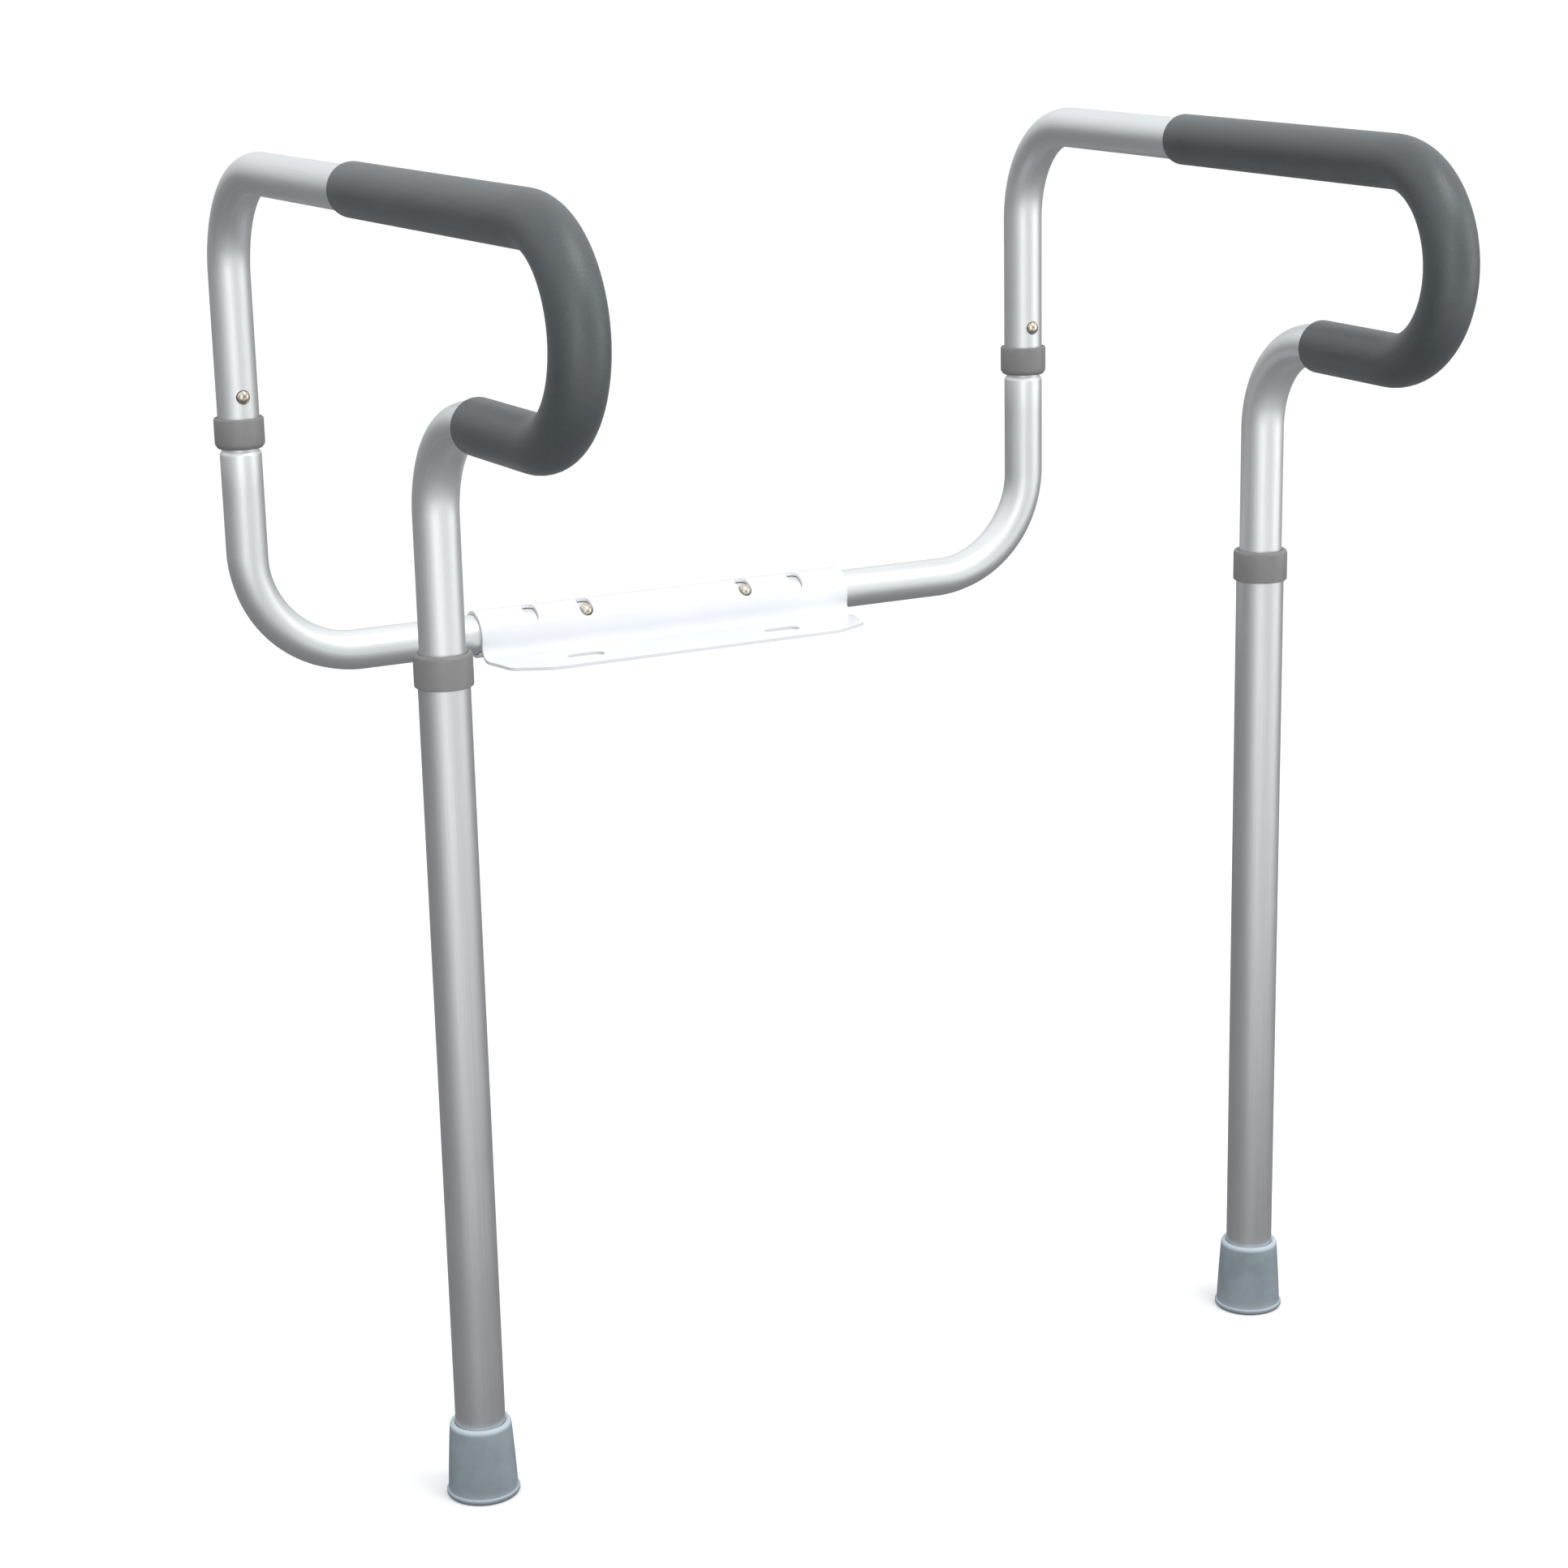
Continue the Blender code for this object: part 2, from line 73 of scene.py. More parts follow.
bpy.context.collection.objects.link(camera)
bpy.context.scene.camera = camera


# Mounting bracket: one pressing of 2 mm steel, a plate for the seat bolts whose rear edge sweeps up, over
# and round into the channel that holds both lower arms. Four slots take the arms' buttons. White powder
# coat over everything.
AXIS_Y, AXIS_Z = 0.038, 0.0152
CHANNEL_BORE_R, SHEET = 0.0132, 0.0020
CHANNEL_HALF, FILLET_R = 0.131, 0.008
CHANNEL_END = math.radians(310.0)
PLATE_FRONT_Y = -0.022
BOLT_SLOT_X, BOLT_SLOT_LENGTH, BOLT_SLOT_WIDTH = 0.0699, 0.025, 0.011
BUTTON_SLOT_X, BUTTON_SLOT_WIDTH = (0.057, 0.095), 0.009
BUTTON_SLOT_TURNS = math.radians(43.0), math.radians(73.5)


def piece_from(bm, name, finish, body, nodes=()):
    """Smooth mesh piece that rides on a body and stands for the CAD nodes named."""
    bm.normal_update()
    bmesh.ops.recalc_face_normals(bm, faces=bm.faces)
    mesh = bpy.data.meshes.new(name)
    bm.to_mesh(mesh)
    bm.free()
    mesh.materials.append(finish)
    mesh.shade_smooth()
    mesh.set_sharp_from_angle(angle=math.radians(35))
    piece = bpy.data.objects.new(name, mesh)
    bpy.context.collection.objects.link(piece)
    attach(piece, body)
    if nodes:
        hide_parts(*nodes)
    return piece


def join_rings(bm, rings, around=True):
    """Quads from each ring of vertices to the next."""
    for first, second in zip(rings, rings[1:]):
        count = len(first)
        for k in range(count if around else count - 1):
            j = (k + 1) % count
            bm.faces.new((first[k], first[j], second[j], second[k]))


def drill(piece, cutters, edge=0.0):
    """Cut each closed cutter out of the piece, then soften the new edges."""
    tools = []
    for bm in cutters:
        bm.normal_update()
        bmesh.ops.recalc_face_normals(bm, faces=bm.faces)
        mesh = bpy.data.meshes.new("cutter")
        bm.to_mesh(mesh)
        bm.free()
        tool = bpy.data.objects.new("cutter", mesh)
        bpy.context.collection.objects.link(tool)
        tools.append(tool)
        boolean = piece.modifiers.new("cut", "BOOLEAN")
        boolean.operation = "DIFFERENCE"
        boolean.solver = "EXACT"
        boolean.object = tool
    if edge:
        bevel = piece.modifiers.new("soft_edges", "BEVEL")
        bevel.width = edge
        bevel.segments = 2
        bevel.limit_method = "ANGLE"
        bevel.angle_limit = math.radians(50)
        bevel.use_clamp_overlap = True
        piece.modifiers.new("even_shading", "WEIGHTED_NORMAL").keep_sharp = True
    bpy.context.view_layer.update()
    evaluated = piece.evaluated_get(bpy.context.evaluated_depsgraph_get())
    final = bpy.data.meshes.new_from_object(evaluated)
    piece.modifiers.clear()
    piece.data = final
    for tool in tools:
        bpy.data.objects.remove(tool, do_unlink=True)


def new_finish(name, roughness, metallic):
    """Empty node material with its Principled shader; returns the material, its nodes, links and shader."""
    finish = bpy.data.materials.new(name)
    finish.use_nodes = True
    nodes, links = finish.node_tree.nodes, finish.node_tree.links
    shader = nodes["Principled BSDF"]
    shader.inputs["Roughness"].default_value = roughness
    shader.inputs["Metallic"].default_value = metallic
    return finish, nodes, links, shader


def texture_group(name, inputs, outputs):
    """Shader group whose named values come in by inputs and go out by outputs."""
    group = bpy.data.node_groups.new(name, "ShaderNodeTree")
    for label, value in inputs:
        group.interface.new_socket(label, in_out="INPUT", socket_type="NodeSocketFloat").default_value = value
    for label in outputs:
        group.interface.new_socket(label, in_out="OUTPUT", socket_type="NodeSocketFloat")
    return group, group.nodes.new("NodeGroupInput"), group.nodes.new("NodeGroupOutput")


def place_group(nodes, group, **values):
    node = nodes.new("ShaderNodeGroup")
    node.node_tree = group
    for label, value in values.items():
        node.inputs[label].default_value = value
    return node


def tint_between(nodes, links, mask, dark, light, low=0.0, high=1.0):
    """Colour ramp from dark to light over a mask."""
    ramp = nodes.new("ShaderNodeValToRGB")
    ramp.color_ramp.elements[0].position = low
    ramp.color_ramp.elements[1].position = high
    ramp.color_ramp.elements[0].color = (*dark, 1.0)
    ramp.color_ramp.elements[1].color = (*light, 1.0)
    links.new(mask, ramp.inputs["Fac"])
    return ramp


def rough_between(nodes, links, mask, smooth, rough):
    spread = nodes.new("ShaderNodeMapRange")
    spread.inputs["To Min"].default_value = smooth
    spread.inputs["To Max"].default_value = rough
    links.new(mask, spread.inputs["Value"])
    return spread


def relief(nodes, links, height, distance, strength=1.0):
    bump = nodes.new("ShaderNodeBump")
    bump.inputs["Distance"].default_value = distance
    bump.inputs["Strength"].default_value = strength
    links.new(height, bump.inputs["Height"])
    return bump


# surface grain: fine cells plus slow cloudiness, shared by the coat, the mouldings, the rubber and the foam
surface_grain, grain_in, grain_out = texture_group(
    "surface_grain", [("Scale", 900.0), ("Cloud Scale", 18.0)], ["Grain", "Cloud"])
place_of = surface_grain.nodes.new("ShaderNodeTexCoord")
fine = surface_grain.nodes.new("ShaderNodeTexNoise")
fine.inputs["Detail"].default_value = 3.0
fine.inputs["Roughness"].default_value = 0.6
slow = surface_grain.nodes.new("ShaderNodeTexNoise")
slow.inputs["Detail"].default_value = 4.0
for texture, label in ((fine, "Scale"), (slow, "Cloud Scale")):
    surface_grain.links.new(place_of.outputs["Object"], texture.inputs["Vector"])
    surface_grain.links.new(grain_in.outputs[label], texture.inputs["Scale"])
surface_grain.links.new(fine.outputs["Fac"], grain_out.inputs["Grain"])
surface_grain.links.new(slow.outputs["Fac"], grain_out.inputs["Cloud"])


def grained(name, base, scales, dark, light, rough=None, bump=None, span=(0.3, 0.7)):
    """Finish tinted by the slow clouds, with its gloss and relief taken from the grain group."""
    finish, nodes, links, shader = new_finish(name, *base)
    grain = place_group(nodes, surface_grain, **{"Scale": scales[0], "Cloud Scale": scales[1]})
    tint = tint_between(nodes, links, grain.outputs["Cloud"], dark, light, *span)
    links.new(tint.outputs["Color"], shader.inputs["Base Color"])
    if rough:
        source, smooth, dull = rough
        spread = rough_between(nodes, links, grain.outputs[source], smooth, dull)
        links.new(spread.outputs["Result"], shader.inputs["Roughness"])
    if bump:
        distance, strength = bump
        height = relief(nodes, links, grain.outputs["Grain"], distance, strength)
        links.new(height.outputs["Normal"], shader.inputs["Normal"])
    return finish, nodes, links, shader, grain, tint


powder_coat, _, _, shader, _, _ = grained(
    "powder_coat", (0.34, 0.0), (420.0, 14.0), (0.79, 0.80, 0.83), (0.85, 0.86, 0.885),
    rough=("Cloud", 0.28, 0.42), bump=(0.00012, 0.5))
shader.inputs["Coat Weight"].default_value = 0.25
shader.inputs["Coat Roughness"].default_value = 0.2

middle_r = CHANNEL_BORE_R + 0.5 * SHEET
plate_back = AXIS_Y - 2.0 * math.sqrt(middle_r * FILLET_R)
dip = math.asin((middle_r - FILLET_R) / (middle_r + FILLET_R))
stations = []
for k in range(7):
    y = PLATE_FRONT_Y + (plate_back - PLATE_FRONT_Y) * k / 7.0
    stations.append((Vector((0.0, y, 0.5 * SHEET)), Vector((0.0, 0.0, 1.0))))
for k in range(24):
    turn = (0.5 * math.pi + dip) * k / 24.0
    hollow = Vector((0.0, -math.sin(turn), math.cos(turn)))
    stations.append((Vector((0.0, plate_back, 0.5 * SHEET + FILLET_R)) - hollow * FILLET_R, hollow))
for k in range(97):
    turn = -dip + (CHANNEL_END + dip) * k / 96.0
    outward = Vector((0.0, -math.cos(turn), math.sin(turn)))
    stations.append((Vector((0.0, AXIS_Y, AXIS_Z)) + outward * middle_r, outward))
bm = bmesh.new()
rings = []
for middle, outward in stations:
    corners = []
    for sign, x in ((1, CHANNEL_HALF), (1, -CHANNEL_HALF), (-1, -CHANNEL_HALF), (-1, CHANNEL_HALF)):
        corners.append(bm.verts.new(middle + outward * (0.5 * SHEET * sign) + Vector((x, 0.0, 0.0))))
    rings.append(corners)
join_rings(bm, rings)
bm.faces.new(rings[0])
bm.faces.new(rings[-1])
bracket = piece_from(bm, "mounting_bracket", powder_coat, "bracket", ["bracket"])


def slot_outline(length, width, steps=10):
    """Round-ended slot, long in its first coordinate."""
    reach, radius = 0.5 * (length - width), 0.5 * width
    outline = []
    for end, start in ((1.0, -90.0), (-1.0, 90.0)):
        for k in range(steps + 1):
            turn = math.radians(start + 180.0 * k / steps)
            outline.append((end * reach + radius * math.cos(turn), radius * math.sin(turn)))
    return outline


def upright_cutter(outline, low, high):
    bm = bmesh.new()
    rings = [[bm.verts.new((x, y, z)) for x, y in outline] for z in (low, high)]
    join_rings(bm, rings)
    bm.faces.new(rings[0])
    bm.faces.new(rings[1])
    return bm


def channel_slot(x_centre):
    """Button slot wrapped round the front top of the channel."""
    bm = bmesh.new()
    low, high = BUTTON_SLOT_TURNS
    length = (high - low) * middle_r + BUTTON_SLOT_WIDTH
    rings = []
    for radius in (CHANNEL_BORE_R - 0.0012, CHANNEL_BORE_R + SHEET + 0.0012):
        ring = []
        for along, across in slot_outline(length, BUTTON_SLOT_WIDTH, 12):
            turn = 0.5 * (low + high) + along / middle_r
            ring.append(bm.verts.new(
                (x_centre + across, AXIS_Y - radius * math.cos(turn), AXIS_Z + radius * math.sin(turn))))
        rings.append(ring)
    join_rings(bm, rings)
    for ring in rings:
        last = len(ring) // 2 - 1
        for start in (0, last + 1):
            for k in range(last // 2):
                strip = [start + k, start + k + 1, start + last - k - 1, start + last - k]
                bm.faces.new([ring[i] for i in dict.fromkeys(strip)])
        bm.faces.new([ring[i] for i in (0, last, last + 1, 2 * last + 1)])
    return bm


cutters = []
for side in (-1, 1):
    corner = [(0.1315, 0.0150), (0.1295, 0.0080), (0.1258, -0.0085), (0.1235, -0.0112), (0.1030, -0.0211),
              (0.1000, -0.0221), (0.1000, -0.030), (0.140, -0.030), (0.140, 0.0150)]
    cutters.append(upright_cutter([(side * x, y) for x, y in corner], -0.003, SHEET + 0.0004))
    bolt_slot = [(x + side * BOLT_SLOT_X, y) for x, y in slot_outline(BOLT_SLOT_LENGTH, BOLT_SLOT_WIDTH)]
    cutters.append(upright_cutter(bolt_slot, -0.003, SHEET + 0.001))
    cutters += [channel_slot(side * x) for x in BUTTON_SLOT_X]
drill(bracket, cutters, edge=0.00035)


# Lower arms: 25 mm aluminium tube, bent to an L. The level leg slides and turns in the channel; the top is
# swaged down to a spigot for the armrest rail. Satin clear anodised, with the faint draw lines of the die.
TUBE_R, TUBE_WALL = 0.0127, 0.00125
SPIGOT_R = TUBE_R - TUBE_WALL - 0.0003
SIDE_X = 0.277
RAIL_BUTTON_Z = AXIS_Z + 0.166
WIDTH_BUTTON_TURN = math.radians(44.0)
ARM_INNER_X, ARM_BEND_R = 0.035, 0.068
SHOULDER_Z, SPIGOT_TOP_Z, SWAGE = AXIS_Z + 0.130, AXIS_Z + 0.230, 0.0032
SIDES = ((-1, "left"), (1, "right"))


def follow(start, heading, normal, moves, step=3.0):
    """Points along a bent tube in one plane, as (point, heading, squeeze, inward direction, distance)."""
    point, heading, normal = Vector(start), Vector(heading), Vector(normal)
    run = 0.0
    path = [(point.copy(), heading.copy(), 0.0, normal.cross(heading), run)]
    for move in moves:
        if move[0] == "line":
            pieces = max(1, round(move[1] / 0.02))
            for _ in range(pieces):
                point = point + heading * (move[1] / pieces)
                run += move[1] / pieces
                path.append((point.copy(), heading.copy(), 0.0, normal.cross(heading), run))
            continue
        radius, degrees = move[1], move[2]
        count = max(1, round(abs(degrees) / step))
        sign = math.copysign(1.0, degrees)
        centre = point + normal.cross(heading) * radius * sign
        turn = Matrix.Rotation(math.radians(degrees / count), 3, normal)
        for k in range(count):
            point = centre + turn @ (point - centre)
            heading = turn @ heading
            run += radius * math.radians(abs(degrees)) / count
            into = min(k + 1, count - k - 1) * abs(degrees) / count
            squeeze = min(1.0, into / 14.0)
            path.append((point.copy(), heading.copy(), squeeze, normal.cross(heading) * sign, run))
    return path


def bent_tube(path, normal, radii, flatten=0.045, sides=64):
    """Hollow tube with cut ends, slightly oval where it is bent; UVs hold metres round and along."""
    bm = bmesh.new()
    layer = bm.loops.layers.uv.new("metres")
    normal = Vector(normal)
    shells = []
    for which in (0, 1):
        rings = []
        for (point, heading, squeeze, inward, run), pair in zip(path, radii):
            across = normal.cross(heading)
            ring = []
            for k in range(sides):
                t = 2.0 * math.pi * (k + 0.5) / sides
                spoke = normal * math.cos(t) + across * math.sin(t)
                facing = spoke.dot(inward)
                oval = 1.0 - squeeze * (flatten * facing * facing - 0.3 * flatten * (1.0 - facing * facing))
                ring.append(bm.verts.new(point + spoke * pair[which] * oval))
            rings.append(ring)
        for n in range(len(rings) - 1):
            for k in range(sides):
                j = (k + 1) % sides
                face = bm.faces.new((rings[n][k], rings[n][j], rings[n + 1][j], rings[n + 1][k]))
                spots = ((k, n), (k + 1, n), (k + 1, n + 1), (k, n + 1))
                for loop, (a, b) in zip(face.loops, spots):
                    loop[layer].uv = (2.0 * math.pi * radii[b][which] * a / sides, path[b][4])
        shells.append(rings)
    for end in (0, -1):
        join_rings(bm, [shells[0][end], shells[1][end]])
    return bm


def with_soft_ends(path, outer, inner, soften=0.0004):
    """Radii for a tube whose cut ends are lightly deburred, with the extra stations that needs."""
    first, last = path[0], path[-1]
    near = (first[0] + first[1] * soften, *first[1:4], first[4] + soften)
    far = (last[0] - last[1] * soften, *last[1:4], last[4] - soften)
    longer = [first, near] + path[1:-1] + [far, last]
    radii = [(outer, inner)] * len(longer)
    radii[0] = radii[-1] = (outer - soften, inner)
    return longer, radii


def round_cutter(base, direction, radius=0.00435, length=0.020, sides=32):
    """Drill that starts at a tube's axis and leaves through one wall."""
    bm = bmesh.new()
    turn = Vector(direction).to_track_quat("Z", "Y").to_matrix().to_4x4()
    bmesh.ops.create_cone(bm, cap_ends=True, segments=sides, radius1=radius, radius2=radius, depth=length)
    ahead = Matrix.Translation((0.0, 0.0, 0.002 + 0.5 * length))
    bm.transform(Matrix.Translation(Vector(base)) @ turn @ ahead)
    return bm


# draw lines: long faint streaks along the tube, read from its metre UVs, with slow handling marks
draw_lines, lines_in, lines_out = texture_group(
    "draw_lines", [("Across", 2600.0), ("Along", 9.0)], ["Lines", "Marks"])
flat_place = draw_lines.nodes.new("ShaderNodeUVMap")
flat_place.uv_map = "metres"
split = draw_lines.nodes.new("ShaderNodeSeparateXYZ")
stretch = draw_lines.nodes.new("ShaderNodeCombineXYZ")
draw_lines.links.new(flat_place.outputs["UV"], split.inputs["Vector"])
for axis, label in (("X", "Across"), ("Y", "Along")):
    scaled = draw_lines.nodes.new("ShaderNodeMath")
    scaled.operation = "MULTIPLY"
    draw_lines.links.new(split.outputs[axis], scaled.inputs[0])
    draw_lines.links.new(lines_in.outputs[label], scaled.inputs[1])
    draw_lines.links.new(scaled.outputs["Value"], stretch.inputs[axis])
streaks = draw_lines.nodes.new("ShaderNodeTexNoise")
streaks.inputs["Scale"].default_value = 1.0
streaks.inputs["Detail"].default_value = 3.0
draw_lines.links.new(stretch.outputs["Vector"], streaks.inputs["Vector"])
marks_place = draw_lines.nodes.new("ShaderNodeTexCoord")
marks = draw_lines.nodes.new("ShaderNodeTexNoise")
marks.inputs["Scale"].default_value = 26.0
marks.inputs["Detail"].default_value = 5.0
draw_lines.links.new(marks_place.outputs["Object"], marks.inputs["Vector"])
draw_lines.links.new(streaks.outputs["Fac"], lines_out.inputs["Lines"])
draw_lines.links.new(marks.outputs["Fac"], lines_out.inputs["Marks"])


def anodised(name, dark, light, smooth, rough):
    finish, nodes, links, shader = new_finish(name, smooth, 1.0)
    lines = place_group(nodes, draw_lines, Across=2600.0, Along=9.0)
    tint = tint_between(nodes, links, lines.outputs["Lines"], dark, light, 0.3, 0.7)
    links.new(tint.outputs["Color"], shader.inputs["Base Color"])
    links.new(rough_between(nodes, links, lines.outputs["Marks"], smooth, rough).outputs["Result"],
              shader.inputs["Roughness"])
    height = relief(nodes, links, lines.outputs["Lines"], 0.00002, 0.35)
    links.new(height.outputs["Normal"], shader.inputs["Normal"])
    return finish


rail_aluminium = anodised("rail_aluminium", (0.74, 0.755, 0.755), (0.83, 0.845, 0.845), 0.42, 0.52)

for side, word in SIDES:
    normal = (0.0, -side, 0.0)
    path = follow((side * ARM_INNER_X, AXIS_Y, AXIS_Z), (side, 0.0, 0.0), normal, [
        ("line", SIDE_X - ARM_BEND_R - ARM_INNER_X), ("arc", ARM_BEND_R, 90.0),
        ("line", SHOULDER_Z - AXIS_Z - ARM_BEND_R), ("line", 0.25 * SWAGE), ("line", 0.5 * SWAGE),
        ("line", 0.25 * SWAGE), ("line", SPIGOT_TOP_Z - SHOULDER_Z - SWAGE)])
    drop = TUBE_R - SPIGOT_R
    radii = []
    for point, *_ in path:
        down = min(1.0, max(0.0, (point.z - SHOULDER_Z) / SWAGE))
        ease = down * down * (3.0 - 2.0 * down)
        radii.append((TUBE_R - drop * ease, TUBE_R - TUBE_WALL - drop * ease))
    arm = piece_from(bent_tube(path, normal, radii), f"{word}_arm_tube", rail_aluminium,
                     f"{word}_arm", [f"{word}_lower_arm"])
    button_way = (0.0, -math.cos(WIDTH_BUTTON_TURN), math.sin(WIDTH_BUTTON_TURN))
    drill(arm, [round_cutter((side * BUTTON_SLOT_X[0], AXIS_Y, AXIS_Z), button_way),
                round_cutter((side * SIDE_X, AXIS_Y, RAIL_BUTTON_Z), (0.0, -1.0, 0.0))])


# Snap buttons: pressed steel caps with a domed nose, nickel plated with a warm cast, each riveted to a
# spring clip inside its tube. Two sit in the bracket's inner slots, two at the rear joints and two on the
# front legs.
polished_steel = grained("polished_steel", (0.16, 1.0), (1500.0, 160.0), (0.50, 0.44, 0.34),
                         (0.74, 0.69, 0.60), rough=("Grain", 0.10, 0.24))[0]


def turned(profile, sides=64, seat=Matrix.Identity(4)):
    """Turned or moulded round piece from (radius, height) points; it closes on itself or on its axis."""
    bm = bmesh.new()
    rings = []
    for radius, height in profile:
        count = 1 if radius == 0.0 else sides
        turns = [2 * math.pi * k / sides for k in range(count)]
        rings.append([bm.verts.new((radius * math.cos(t), radius * math.sin(t), height)) for t in turns])
    for first, second in list(zip(rings, rings[1:])) + [(rings[-1], rings[0])]:
        if len(first) == len(second) == 1:
            continue
        for k in range(sides):
            j = (k + 1) % sides
            corners = (first[k % len(first)], first[j % len(first)],
                       second[j % len(second)], second[k % len(second)])
            bm.faces.new(list(dict.fromkeys(corners)))
    bm.transform(seat)
    return bm


def snap_button(name, base, direction, flange, tip, body, node):
    nose = [(0.0040 * math.sin(math.radians(a)), tip - 0.0026 + 0.0026 * math.cos(math.radians(a)))
            for a in range(90, 0, -9)]
    profile = [(0.0, flange - 0.0008), (0.0049, flange - 0.0008), (0.0049, flange), (0.0040, flange)]
    profile += nose + [(0.0, tip)]
    seat = Matrix.Translation(Vector(base)) @ Vector(direction).to_track_quat("Z", "Y").to_matrix().to_4x4()
    return piece_from(turned(profile, 40, seat), name, polished_steel, body, [node])


TOE_IN = 2.3


def toe_in(side):
    """The rails turn about their rear uprights, so that the front ends lean in."""
    centre = Vector((side * SIDE_X, AXIS_Y, 0.0))
    turn = Matrix.Rotation(math.radians(-side * TOE_IN), 4, "Z")
    return Matrix.Translation(centre) @ turn @ Matrix.Translation(-centre)


FLOOR_Z, FRONT_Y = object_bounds()[0][2], -0.262
LEG_BUTTON_Z = FLOOR_Z + 0.330
for side, word in SIDES:
    snap_button(f"{word}_width_snap", (side * BUTTON_SLOT_X[0], AXIS_Y, AXIS_Z), button_way, 0.0097, 0.0172,
                f"{word}_width_button", f"{word}_width_button")
    snap_button(f"{word}_rail_snap", (side * SIDE_X, AXIS_Y, RAIL_BUTTON_Z), (0.0, -1.0, 0.0), 0.0079, 0.0153,
                f"{word}_rail_button", f"{word}_rail_button")
    turn = toe_in(side)
    leg_button = f"{word}_leg_button"
    snap_button(f"{word}_leg_snap", turn @ Vector((side * SIDE_X, FRONT_Y, LEG_BUTTON_Z)),
                turn.to_3x3() @ Vector((0.0, 1.0, 0.0)), 0.0097, 0.0169, leg_button, leg_button)


# Spring clips, end plugs and foot washers sit out of sight inside the tubes: bent spring strip, black
# moulded inserts and plated discs. They keep their CAD shapes and only take a finish.
spring_strip = grained("spring_strip", (0.3, 1.0), (1200.0, 60.0), (0.30, 0.31, 0.34), (0.46, 0.47, 0.50),
                       rough=("Grain", 0.22, 0.40))[0]
black_moulding = grained("black_moulding", (0.5, 0.0), (900.0, 30.0), (0.020, 0.020, 0.022),
                         (0.040, 0.040, 0.043), bump=(0.0001, 0.4))[0]
for side, word in SIDES:
    hidden = {part: spring_strip for part in ("width_clip", "rail_clip", "leg_clip", "foot_washer")}
    hidden["arm_end_plug"] = black_moulding
    for part, finish in hidden.items():
        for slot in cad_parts[f"{word}_{part}"].material_slots:
            slot.material = finish


# Armrest rails: each is one length of the same tube, bent from the rear upright over the level armrest, round
# the front U-turn and down into the front leg. The bends are slightly oval, as a mandrel bender leaves them.
RAIL_Z, UTURN_Y, UTURN_R = 0.3172, -0.392, 0.055
FRONT_BEND_R, REAR_BEND_R = 0.056, 0.064
for side, word in SIDES:
    low = AXIS_Z + 0.136
    path = follow((side * SIDE_X, AXIS_Y, low), (0.0, 0.0, 1.0), (1.0, 0.0, 0.0), [
        ("line", RAIL_Z - REAR_BEND_R - low), ("arc", REAR_BEND_R, 90.0),
        ("line", AXIS_Y - REAR_BEND_R - UTURN_Y), ("arc", UTURN_R, 180.0),
        ("line", FRONT_Y - FRONT_BEND_R - UTURN_Y), ("arc", FRONT_BEND_R, -90.0),
        ("line", RAIL_Z - 2 * UTURN_R - FRONT_BEND_R - FLOOR_Z - 0.300)])
    path, radii = with_soft_ends(path, TUBE_R, TUBE_R - TUBE_WALL)
    bm = bent_tube(path, (1.0, 0.0, 0.0), radii)
    bm.transform(toe_in(side))
    rail = piece_from(bm, f"{word}_armrest", rail_aluminium, f"{word}_rail",
                      [f"{word}_armrest_rail"])
    turn = toe_in(side)
    drill(rail, [round_cutter((side * SIDE_X, AXIS_Y, RAIL_BUTTON_Z), (0.0, -1.0, 0.0)),
                 round_cutter(turn @ Vector((side * SIDE_X, FRONT_Y, LEG_BUTTON_Z)),
                              turn.to_3x3() @ Vector((0.0, 1.0, 0.0)))])


# Foam grips: closed-cell sleeves pulled over the rail from mid armrest round the U-turn to the end of
# the return. Dark slate grey, matte, with a fine cell texture and softly rounded cut ends.
slate_foam, nodes, links, shader, grain, tint = grained(
    "slate_foam", (0.62, 0.0), (1500.0, 22.0), (0.038, 0.048, 0.054), (0.050, 0.062, 0.069),
    rough=("Cloud", 0.36, 0.46), bump=(0.00025, 0.6))
cells = tint_between(nodes, links, grain.outputs["Grain"], (0.80, 0.80, 0.80), (1.14, 1.14, 1.14), 0.32, 0.68)
blend = nodes.new("ShaderNodeMix")
blend.data_type = "RGBA"
blend.blend_type = "MULTIPLY"
blend.inputs["Factor"].default_value = 1.0
links.new(tint.outputs["Color"], blend.inputs["A"])
links.new(cells.outputs["Color"], blend.inputs["B"])
links.new(blend.outputs["Result"], shader.inputs["Base Color"])
shader.inputs["Specular IOR Level"].default_value = 0.85
shader.inputs["Sheen Weight"].default_value = 0.10
shader.inputs["Sheen Roughness"].default_value = 0.5

GRIP_R, GRIP_START_Y, GRIP_END_Y = 0.0153, -0.167, -0.321
GRIP_EDGE = (0.0002, 0.0004, 0.0006, 0.0008)
for side, word in SIDES:
    path = follow((side * SIDE_X, GRIP_START_Y, RAIL_Z), (0.0, -1.0, 0.0), (1.0, 0.0, 0.0), [
        *[("line", length) for length in GRIP_EDGE],
        ("line", GRIP_START_Y - UTURN_Y - sum(GRIP_EDGE)), ("arc", UTURN_R, 180.0),
        ("line", GRIP_END_Y - UTURN_Y - sum(GRIP_EDGE)),
        *[("line", length) for length in GRIP_EDGE[::-1]]], step=4.5)
    ends = [GRIP_R - 0.0016, GRIP_R - 0.0010, GRIP_R - 0.0005, GRIP_R - 0.0001]
    outer = ends + [GRIP_R] * (len(path) - 8) + ends[::-1]
    bm = bent_tube(path, (1.0, 0.0, 0.0), [(r, TUBE_R + 0.0002) for r in outer], flatten=0.012)
    bm.transform(toe_in(side))
    grip = piece_from(bm, f"{word}_grip", slate_foam, f"{word}_rail", [f"{word}_foam_grip"])


